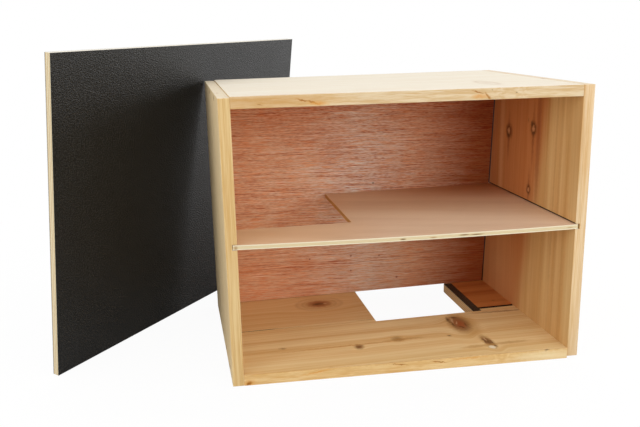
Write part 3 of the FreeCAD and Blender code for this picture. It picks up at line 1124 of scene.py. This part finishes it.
@dataclass
class FrontWall(SubAssembly):
    """The tongued and grooved front planks, and the strip at the right of the entrance."""

    arris: float = 0.2
    # Thickness of the strip's film, and how its edges and its core's are eased, in millimetres
    film: float = 0.7
    film_arris: float = 0.2
    film_shortest: float = 3.0
    core_arris: float = 0.25
    upper: PineFinish = PineFinish(
        Grain.SIDEWAYS, pale="#fae0ac", deep="#deae68", pith=(70, -140), ring=8, bands=0.34, late=0.26,
        faces=(((0, -1, 0), "#e0bf88", 1),),
        spots=(
            Spot.on_planks(Blemish.AMBER, 150, 78, 120, 2.2),
            Spot.on_planks(Blemish.PALE_STREAK, 224, 26, 500, 26, turn=-3.25),
            Spot.on_planks(Blemish.WASH_AND_SHADE, 334, 104, 26, 50, turn=-4, deep=14),
            Spot.on_planks(Blemish.RED_KNOT, 330, 112, 19, 38, turn=-4, deep=16, bend=0.85),
            Spot.on_planks(Blemish.BARK_AND_SHADE, 319, 130, 3.5, 14, turn=-8, deep=12),
            Spot.on_planks(Blemish.BARK_AND_SHADE, 329, 135, 9, 4.5, turn=-12, deep=12),
            Spot.on_planks(Blemish.FLAKE, 324, 126, 2.6, 14, turn=-10),
            Spot.on_planks(Blemish.FLAKE, 327, 116, 1.4, 9, turn=-14),
            Spot.on_planks(Blemish.BARK_AND_SHADE, 320, 113, 1.8, 13, turn=8),
            Spot.on_planks(Blemish.BARK_AND_SHADE, 329, 100, 2.6, 9, turn=24),
            Spot.on_planks(Blemish.BARK_AND_SHADE, 337, 108, 1.6, 10, turn=-6),
            Spot.on_planks(Blemish.DARK_KNOT, 344, 46, 9, 27, turn=4, deep=12, bend=0.7),
            Spot.on_planks(Blemish.BARK_AND_SHADE, 348.5, 40, 1.7, 16, turn=2, deep=12),
            Spot.on_planks(Blemish.BARK_AND_SHADE, 340, 48, 1.5, 15, deep=12),
            Spot.on_planks(Blemish.FLAKE, 343, 55, 1.6, 9),
            Spot.on_planks(Blemish.CHIP, 342.5, 28, 6, 7.5, turn=20),
            Spot.on_planks(Blemish.WASH_AND_SHADE, 326, 35, 30, 5),
            Spot.on_planks(Blemish.WASH_AND_SHADE, 372, 36, 34, 5),
            Spot.on_planks(Blemish.BARK_AND_SHADE, 348, 31, 2.4, 5, turn=20),
            Spot.on_planks(Blemish.ARRIS, 224, 13.2, 290, 1.5, turn=-3.25, deep=2.2),
            Spot.on_planks(Blemish.DARK_KNOT, 172.4, 71.4, 9, 10, deep=12, bend=0.7),
            Spot.on_planks(Blemish.GREY_KNOT, 229, 83, 11, 11, deep=12, bend=0.5),
            Spot.on_planks(Blemish.WASH_AND_SHADE, 238, 81, 34, 5),
            Spot.on_planks(Blemish.DOT, 301, 76.6, 3.6, 3.2),
            Spot.on_planks(Blemish.SMUDGE_AND_SHADE, 72, 90, 7, 4),
            Spot.on_planks(Blemish.RED_STREAK, 412, 141, 66, 4, turn=-3),
            Spot.on_planks(Blemish.DARK_STREAK, 210, 79, 90, 1.6),
            Spot.on_planks(Blemish.DOT, 407, 2, 4.5, 3, deep=3),
            Spot.facing_rim(Blemish.AMBER, (20, 23, 3), 9, 7),
            Spot.facing_rim(Blemish.RESIN, (20, 23, 2), 5, 4),
            Spot.facing_rim(Blemish.AMBER, (105, 19, 10), 30, 2, turn=-8),
            Spot.facing_rim(Blemish.RESIN, (210, 13, 11), 16, 1.0, turn=8),
            Spot.facing_rim(Blemish.RESIN, (262, 10, 10), 14, 1.1, turn=10),
            Spot.facing_rim(Blemish.AMBER, (300, 8, 12), 40, 1.6),
            Spot.facing_rim(Blemish.SAPWOOD, (404, 2, 6), 64, 9, deep=10, side=(0, -1, 0)),
        ))
    lower_left: PineFinish = PineFinish(
        Grain.SIDEWAYS, pale="#f2d3a0", deep="#ddac66", pith=(250, -70), ring=8,
        spots=(
            Spot.on_planks(Blemish.SOFT_KNOT, 151, 238, 40, 29, deep=14, bend=0.9),
            Spot.on_planks(Blemish.FLAKE, 161, 238, 5, 3.5),
            Spot.on_planks(Blemish.BARK_AND_SHADE, 147, 237, 9, 4, turn=12, deep=12),
            # Painted shade: the joint along the near edge, darkened where it lies in shadow
            *(Spot.facing_rim(look, (x, 159, BOARD / 2), half_x, 30, deep=12, crisp=True, side=(0, -1, 0))
              for look, x, half_x in ((Blemish.BARK_AND_SHADE, 14, 140), (Blemish.SHADE_IN_GAP, 14, 66),
                                      (Blemish.BARK_AND_SHADE, 214, 40))),
        ))
    lower_right: PineFinish = PineFinish(
        Grain.SIDEWAYS, pale="#dc9656", deep="#bc6a34", pith=(220, -90), ring=9, late=0.3,
        spots=(
            Spot.on_planks(Blemish.SMUDGE_AND_SHADE, 414, 184, 3, 3),
            # Painted shade: the joint along the near edge, near-black where it lies in shadow
            Spot.facing_rim(Blemish.SHADE_IN_GAP, (407, 160, BOARD / 2), 90, 30, deep=20, crisp=True,
                            side=(0, -1, 0)),
        ))

    def jamb(self) -> None:
        """Build and dress the strip: a sawn core, and its film, which faces the inside of the house."""
        node = "entrance_jamb"
        low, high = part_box(node)
        along, up, out = (Vector(axis) for axis in ((1, 0, 0), (0, 1, 0), (0, 0, 1)))
        place = PanelPlace(Vector((low.x, low.y, high.z)), along, up, out, tuple(high - low))
        seam = Vector((0, 0, high.z - self.film * MM))
        core = self.node_copy(node)
        self.cut(core, seam, out)
        self.ease(core, self.core_arris)
        edge = PlyEdgeFinish(place, plies=9, pale="#f2dcae", tan="#dfbe88")
        piece = self.place_piece(core, node + "_core", node)
        self.dress(piece, "film_faced_ply", edge.make("jamb_core_ply"))
        film = self.node_copy(node)
        self.cut(film, seam, -out)
        self.ease(film, self.film_arris, self.film_shortest)
        black = FilmFinish(place, dark="#3a3228", wear_and_glint="#786a5c", pebble=0.6,
                           sheen=Sheen(rough=0.45, swing=0.2, relief=0.25, strength=1.0, specular=0.34))
        piece = self.place_piece(film, node + "_film")
        self.dress(piece, "film_faced_ply", black.make("jamb_film"))

    def cut(self, shape: bmesh.types.BMesh, point: Vector, away: Vector) -> None:
        """Saw a shape at a plane, drop what lies beyond it and close the cut.

        Args:
            shape: the shape.
            point: a point of the plane.
            away: the side of the plane that is dropped.
        """
        geometry = [*shape.verts, *shape.edges, *shape.faces]
        made = bmesh.ops.bisect_plane(shape, geom=geometry, plane_co=point, plane_no=away, clear_outer=True)
        rim = [g for g in made["geom_cut"] if isinstance(g, bmesh.types.BMEdge)]
        bmesh.ops.holes_fill(shape, edges=rim)
        bmesh.ops.recalc_face_normals(shape, faces=shape.faces)

    def build(self) -> None:
        """Build and dress the three planks and the strip."""
        self.board("front_upper_plank", self.upper)
        self.board("front_lower_left_plank", self.lower_left)
        self.board("front_lower_right_plank", self.lower_right)
        self.jamb()


@dataclass
class RaisedFloor(SubAssembly):
    """The plywood floor and the two battens under it."""

    panel_arris: float = 0.4
    veneer: RedVeneerFinish = RedVeneerFinish(pins=(
        *(Spot.facing_rim(Blemish.PIN, centre, half_x, half_z, deep=20)
          for centre, half_x, half_z in (((286, 272, 34), 2.6, 2.2), ((210, 268, 77), 2.4, 2.0),
                                         ((210, 270, 52), 2.0, 1.8), ((256, 268, 74), 2.0, 1.8),
                                         ((144, 268, 77), 2.0, 1.8))),
        Spot.facing_rim(Blemish.DOT, (244, 260, 194), 2.6, 2.0, deep=20),
    ))
    batten: PineFinish = PineFinish(
        Grain.BATTEN, pale="#dfc08c", deep="#c59a5e", pith=(-40, 340), ring=5, wave=10)

    def build(self) -> None:
        """Build and dress the floor panel and the battens."""
        panel = self.node_copy("floor_panel")
        self.ease(panel, self.panel_arris)
        sheet = self.place_piece(panel, "floor_panel_sheet", "floor_panel")
        self.dress(sheet, "floor_ply", self.veneer.make("floor_veneer"))
        self.board("floor_bearer_front", self.batten)
        self.board("floor_bearer_rear", self.batten)


@dataclass
class Partition(SubAssembly):
    """The thin sheet between the corridor and the nest chamber."""

    body: str = "partition"
    arris: float = 0.35
    # Cells of the sheet's grid across and inwards, and how it hangs
    cuts: tuple[int, int] = (20, 8)
    hang: Hang = Hang(sag=2.0, left=8.5, right=438.5, rim=0.0, foot=262.0)
    marks: tuple[Spot, ...] = (
        Spot(Blemish.VOID, (214, 13.3, 178.2), (5, 4, 1.4)),
        Spot(Blemish.VOID, (291, 9, 178.9), (9, 4, 1.1)),
        Spot(Blemish.VOID, (307, 8, 178.5), (12, 4, 1.0)),
        Spot(Blemish.SMUDGE_AND_SHADE, (252, 11, 178), (6, 3, 1.4)),
        Spot(Blemish.SMUDGE_AND_SHADE, (428, 1, 178.3), (6, 4, 0.8)),
        # Painted shade: the dark groove at the sheet's left end
        Spot(Blemish.SMUDGE_AND_SHADE, (12, 25, 178), (3, 4, 4)),
        # Painted light: a pale pool on the top of the sheet, at its left
        Spot(Blemish.PAINTED_SOFT_LIGHT, (60, 60, 181.7), (150, 90, 8), side=(0, 0, 1)),
        Spot(Blemish.SCRATCH, (120, 93.4, 181.7), (48, 2.2, 2.0)),
    )

    def bow(self, sheet: bmesh.types.BMesh) -> None:
        """Let the sheet hang a little between the walls, most at its free edge.

        Args:
            sheet: the sheet, which is cut into a grid first.
        """
        low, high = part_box("partition_panel")
        for axis, count in enumerate(self.cuts):
            normal = Vector((axis == 0, axis == 1, 0))
            for step in range(1, count):
                point = low.lerp(high, step / count)
                geometry = [*sheet.verts, *sheet.edges, *sheet.faces]
                bmesh.ops.bisect_plane(sheet, geom=geometry, plane_co=point, plane_no=normal,
                                       dist=ONE_POINT * MM)
        for vert in sheet.verts:
            x, y = vert.co.x / MM + ORIGIN_FROM_LEFT, vert.co.y / MM + ORIGIN_FROM_RIM
            vert.co.z -= self.hang.drop(x, y) * MM

    def build(self) -> None:
        """Build the sheet with lightly sanded edges, and dress it."""
        shape = self.node_copy("partition_panel")
        self.ease(shape, self.arris)
        self.bow(shape)
        sheet = self.place_piece(shape, "partition_sheet", "partition_panel")
        veneer = SmoothVeneerFinish(self.hang, marks=self.marks)
        self.dress(sheet, "partition_ply", veneer.make("partition_veneer"))


@dataclass
class RoofPanel(SubAssembly):
    """The loose roof panel: a plywood core between a pebbled film and a smooth one."""

    body: str = "lid"
    arris: float = 0.3
    film: float = 0.6
    film_arris: float = 0.2

    def stand(self) -> PanelPlace:
        """Read from its CAD node where the panel stands.

        Returns:
            The panel's front lower corner, axes and size.
        """
        shape = self.node_copy("lid_panel")
        faces = sorted(shape.faces, key=lambda f: f.calc_area())[-2:]
        out = min((f.normal.copy() for f in faces), key=lambda n: n.y)
        up = (Vector((0, 0, 1)) - out * out.z).normalized()
        along = up.cross(out)
        reach = [[v.co.dot(axis) for v in shape.verts] for axis in (along, up, out)]
        shape.free()
        corner = along * min(reach[0]) + up * min(reach[1]) + out * max(reach[2])
        return PanelPlace(corner, along, up, out, tuple(max(r) - min(r) for r in reach))

    def layer(self, place: PanelPlace, near: float, far: float, width: float) -> bmesh.types.BMesh:
        """Build one layer of the panel.

        Args:
            place: where the panel stands.
            near: the depth of the layer's front below the panel's front, in metres.
            far: the depth of its back.
            width: how far its edges are eased, in millimetres.

        Returns:
            The layer's shape.
        """
        shape = bmesh.new()
        length, height, _ = place.size
        middle = place.corner + place.matrix() @ Vector((length / 2, height / 2, -(near + far) / 2))
        size = Matrix.Diagonal((length, height, far - near, 1))
        stand = Matrix.Translation(middle) @ place.matrix().to_4x4() @ size
        bmesh.ops.create_cube(shape, size=1, matrix=stand)
        self.ease(shape, width, shortest=0.1)
        return shape

    def build(self) -> None:
        """Build and dress the core, the pebbled front film and the smooth back film."""
        place = self.stand()
        film = self.film * MM
        thick = place.size[2]
        core = self.layer(place, film, thick - film, self.arris)
        piece = self.place_piece(core, "lid_panel_core", "lid_panel")
        self.dress(piece, "film_faced_ply", PlyEdgeFinish(place).make("lid_core_ply"))
        front = self.layer(place, 0, film, self.film_arris)
        piece = self.place_piece(front, "lid_panel_front_film")
        self.dress(piece, "film_faced_ply", FilmFinish(place).make("lid_pebbled_film"))
        back = self.layer(place, thick - film, thick, self.film_arris)
        piece = self.place_piece(back, "lid_panel_back_film")
        smooth = FilmFinish(place, dark="#251c16", wear_and_glint="#33261d", pebble=0.9,
                            sheen=Sheen(rough=0.3, swing=0.2, relief=0.05, strength=1.0, specular=0.34))
        self.dress(piece, "film_faced_ply", smooth.make("lid_smooth_film"))


@dataclass
class Fixings(SubAssembly):
    """The countersunk screws through the side walls, whose radii and heights are in millimetres."""

    # Head: its radius, its height and the height of its rim
    head: float = 3.5
    head_height: float = 2.0
    head_rim: float = 0.25
    # Thread: radii of its crest, root and tip, its pitch, and the share of it that each flank takes
    shank: float = 1.7
    root: float = 1.25
    tip: float = 0.4
    pitch: float = 1.8
    flank: float = 0.35
    # Cross recess: its depth, how far it narrows, and which faces of the grid are its arms
    recess: float = 1.3
    recess_taper: float = 0.75
    arm_reach: float = 0.6
    arm_middle: float = 0.1
    # Grid that is drawn out to the round face of the head, and its rings in shares of the radius
    grid: int = 5
    ring_shares: tuple[float, float, float] = (0.17, 0.62, 1.0)

    def places(self, node: str) -> list[tuple[Vector, float]]:
        """Find the head centre and the length of each screw of a CAD node.

        Args:
            node: the CAD node's name.

        Returns:
            Each screw's head centre and its length, negative where it points to the left.
        """
        shape = self.node_copy(node)
        outward = -1 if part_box(node)[0].x < 0 else 1
        waiting = set(shape.verts)
        found = []
        while waiting:
            edge = [waiting.pop()]
            group = list(edge)
            while edge:
                near = {e.other_vert(v) for v in edge for e in v.link_edges} & waiting
                waiting -= near
                edge = list(near)
                group += edge
            low = Vector(min(v.co[i] for v in group) for i in range(3))
            high = Vector(max(v.co[i] for v in group) for i in range(3))
            centre = (low + high) / 2
            centre.x = low.x if outward < 0 else high.x
            found.append((centre, outward * (low.x - high.x)))
        shape.free()
        return sorted(found, key=lambda item: tuple(item[0]))

    def head_face(self) -> bmesh.types.BMesh:
        """Build the round face of a head, with its cross recess.

        Returns:
            The face, open at its rim.
        """
        shape = bmesh.new()
        radius = self.head * MM
        bmesh.ops.create_grid(shape, x_segments=self.grid, y_segments=self.grid, size=radius)
        half_step = radius / self.grid
        for vert in shape.verts:
            x, y = (round(c / half_step) for c in vert.co.xy)
            ring = max(abs(x), abs(y))
            flat = Vector((x, y, 0))
            outward = flat.normalized() if ring == self.grid else flat / ring
            vert.co = outward * self.ring_shares[ring // 2] * radius
        cross = [f for f in shape.faces if f.calc_center_median().length < self.arm_reach * radius
                 and min(abs(c) for c in f.calc_center_median().xy) < self.arm_middle * MM]
        made = bmesh.ops.extrude_face_region(shape, geom=cross)
        bmesh.ops.delete(shape, geom=cross, context="FACES")
        sunk = [g for g in made["geom"] if isinstance(g, bmesh.types.BMVert)]
        bmesh.ops.scale(shape, vec=(self.recess_taper, self.recess_taper, 1), verts=sunk)
        bmesh.ops.translate(shape, vec=(0, 0, -self.recess * MM), verts=sunk)
        return shape

    def profile(self, length: float) -> list[tuple[float, float]]:
        """List the screw's rings below its head, as radius and drop from the last, in millimetres.

        Args:
            length: its length in metres.

        Returns:
            The rings from the head's rim to the end.
        """
        rings = [(self.head, self.head_rim), (self.shank, self.head_height - self.head_rim)]
        threaded = length / MM - self.head_height - self.pitch
        slope = self.pitch * self.flank
        turn = [(self.root, slope), (self.root, self.pitch - 2 * slope), (self.shank, slope)]
        return rings + turn * int(threaded / self.pitch) + [(self.tip, self.pitch)]

    def screw(self, length: float) -> bmesh.types.BMesh:
        """Build one screw with its head's face at the origin and its point down.

        Args:
            length: its length in metres.

        Returns:
            The screw's shape.
        """
        shape = self.head_face()
        rim = [e for e in shape.edges if e.is_boundary]
        for radius, drop in self.profile(length):
            made = bmesh.ops.extrude_edge_only(shape, edges=rim)
            verts = [g for g in made["geom"] if isinstance(g, bmesh.types.BMVert)]
            rim = [g for g in made["geom"] if isinstance(g, bmesh.types.BMEdge)]
            share = radius * MM / max(v.co.xy.length for v in verts)
            bmesh.ops.scale(shape, vec=(share, share, 1), verts=verts)
            bmesh.ops.translate(shape, vec=(0, 0, -drop * MM), verts=verts)
        bmesh.ops.holes_fill(shape, edges=rim)
        bmesh.ops.recalc_face_normals(shape, faces=shape.faces)
        return shape

    def build(self) -> None:
        """Build and dress the screws of both side walls."""
        material = SteelFinish().make("screw_steel_finish")
        for node in ("left_wall_screws", "right_wall_screws"):
            row = bmesh.new()
            for centre, length in self.places(node):
                turn = Euler((0, -math.copysign(math.pi / 2, length), 0)).to_matrix().to_4x4()
                one = self.screw(abs(length))
                bmesh.ops.transform(one, matrix=Matrix.Translation(centre) @ turn, verts=one.verts)
                spare = bpy.data.meshes.new("screw")
                one.to_mesh(spare)
                one.free()
                row.from_mesh(spare)
                bpy.data.meshes.remove(spare)
            self.dress(self.place_piece(row, node + "_set", node), "screw_steel", material)


@dataclass(frozen=True)
class Softbox:
    """A square soft lamp: its place, what it points at, its side in metres and its power in watts."""

    name: str
    place: Triple
    aim: Triple
    size: float
    power: float

    def hang(self) -> None:
        """Hang the lamp."""
        lamp = bpy.data.lights.new(self.name, "AREA")
        lamp.shape = "SQUARE"
        lamp.size = self.size
        lamp.energy = self.power
        hung = bpy.data.objects.new(self.name, lamp)
        hung.location = self.place
        hung.rotation_euler = (Vector(self.aim) - Vector(self.place)).to_track_quat("-Z", "Y").to_euler()
        bpy.context.scene.collection.objects.link(hung)


@dataclass
class Studio:
    """The pale floor, the soft lamps and the camera."""

    # Camera: picture and focal length in pixels, sensor in millimetres, turns in degrees, and its place
    picture: tuple[int, int] = (640, 427)
    focal_pixels: float = 741.54
    sensor: float = 36.0
    pitch: float = 14.35
    yaw: float = 11.07
    roll: float = -1.30
    eye: Triple = (-50.3, -815.53, 432.11)
    # Floor: half its side in metres, its cuts, its drop in millimetres and its speckled colour
    floor_size: float = 14.0
    floor_cuts: int = 8
    floor_drop: float = 0.3
    floor_pale: str = "#cfcecc"
    floor_speck: str = "#cac9c7"
    speck_scale: float = 3.0
    # Shares of plain white that the camera and the shine see near the house, and where they rise to 1
    white_share: float = 0.95
    gloss_share: float = 0.05
    shadow_reach: Pair = (0.55, 1.1)
    # Light from all round and from the lamps
    world_light: float = 0.85
    white: Paint = (1, 1, 1, 1)
    lamps: tuple[Softbox, ...] = (
        Softbox("right_softbox", (1.6, -1.5, 0.6), (0, 0.05, 0.18), 1.0, 8),
        Softbox("front_softbox", (0.7, -2.1, 0.5), (0, 0.05, 0.18), 1.0, 6),
        Softbox("upper_softbox", (0.1, -1.35, 1.85), (0, 0, 0.18), 1.3, 5),
        Softbox("left_softbox", (-2.0, -1.2, 0.8), (0, 0, 0.18), 1.1, 10),
        Softbox("rear_softbox", (2.0, 0.75, 0.55), (-0.1, 0.2, 0.35), 1.0, 11),
    )

    def rays(self, bench: Bench) -> tuple[Wire, Wire]:
        """Tell the camera's own rays, and those of shine and glass, from the light's rays."""
        seen = bench.node("LightPath", {}, "Is Camera Ray")
        return seen, bench.sum("MAXIMUM", seen.sibling("Is Glossy Ray"), seen.sibling("Is Transmission Ray"))

    def floor_material(self) -> bpy.types.Material:
        """Make the pale floor's material, which shows white and keeps a soft shadow near the house.

        Returns:
            The material.
        """
        bench = Bench(bpy.data.materials.new("pale_floor"))
        seen, gloss = self.rays(bench)
        here = bench.node("TexCoord", {}, "Object")
        distance = bench.node("VectorMath", {0: here}, "Value", operation="LENGTH")
        far = bench.step(distance, *self.shadow_reach)
        share = seen * far.lifted(self.white_share) + gloss * far.lifted(self.gloss_share)
        speck = bench.noise(here, self.speck_scale)
        pale = bench.mix(bench.mix(paint(self.floor_pale), paint(self.floor_speck), speck), self.white, seen)
        dull = bench.node("BsdfDiffuse", {"Color": pale})
        glow = bench.node("Emission", {"Color": self.white, "Strength": 1.0})
        bench.node("OutputMaterial", {"Surface": bench.node("MixShader", {0: share, 1: dull, 2: glow})})
        return bench.owner

    def floor(self) -> None:
        """Lay the floor just below the ground, so that it never meets the house's own faces."""
        shape = bmesh.new()
        bmesh.ops.create_grid(shape, x_segments=self.floor_cuts, y_segments=self.floor_cuts,
                              size=self.floor_size, matrix=Matrix.Translation((0, 0, -self.floor_drop * MM)))
        mesh = bpy.data.meshes.new("pale_floor")
        shape.to_mesh(mesh)
        shape.free()
        mesh.materials.append(self.floor_material())
        floor = bpy.data.objects.new("pale_floor", mesh)
        bpy.context.scene.collection.objects.link(floor)

    def world(self) -> None:
        """Light the scene evenly from all round, and show white behind the house."""
        bench = Bench(bpy.data.worlds.new("white_room"))
        bpy.context.scene.world = bench.owner
        shown = bench.sum("MAXIMUM", *self.rays(bench))
        strength = bench.node("MapRange", {"Value": shown, "To Min": self.world_light})
        sky = bench.node("Background", {"Color": self.white, "Strength": strength})
        bench.node("OutputWorld", {"Surface": sky})

    def camera(self) -> None:
        """Stand the camera where the photograph was taken from."""
        pitch, yaw, roll = (math.radians(a) for a in (self.pitch, self.yaw, self.roll))
        ahead = Vector((math.sin(yaw) * math.cos(pitch), math.cos(yaw) * math.cos(pitch), -math.sin(pitch)))
        level = Vector((math.cos(yaw), -math.sin(yaw), 0))
        upright = level.cross(ahead)
        right = level * math.cos(roll) + upright * math.sin(roll)
        up = upright * math.cos(roll) - level * math.sin(roll)
        turn = Matrix((right, up, -ahead)).transposed().to_4x4()
        lens = bpy.data.cameras.new("camera")
        lens.sensor_fit = "HORIZONTAL"
        lens.sensor_width = self.sensor
        lens.lens = self.focal_pixels / self.picture[0] * self.sensor
        eye = (Vector(self.eye) - Vector((ORIGIN_FROM_LEFT, ORIGIN_FROM_RIM, 0))) * MM
        camera = bpy.data.objects.new("camera", lens)
        camera.matrix_world = Matrix.Translation(eye) @ turn
        bpy.context.scene.collection.objects.link(camera)
        bpy.context.scene.camera = camera

    def build(self) -> None:
        """Set the whole studio up."""
        bpy.context.scene.view_settings.view_transform = "Standard"
        self.floor()
        self.world()
        for lamp in self.lamps:
            lamp.hang()
        self.camera()


def main() -> None:
    """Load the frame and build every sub-assembly in order."""
    logging.basicConfig(level=logging.INFO, format="%(name)s %(message)s")
    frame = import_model()
    for kind in (Shell, FrontWall, RaisedFloor, Partition, RoofPanel, Fixings):
        kind(frame).build()
    Studio().build()


if __name__ == "__main__":
    main()
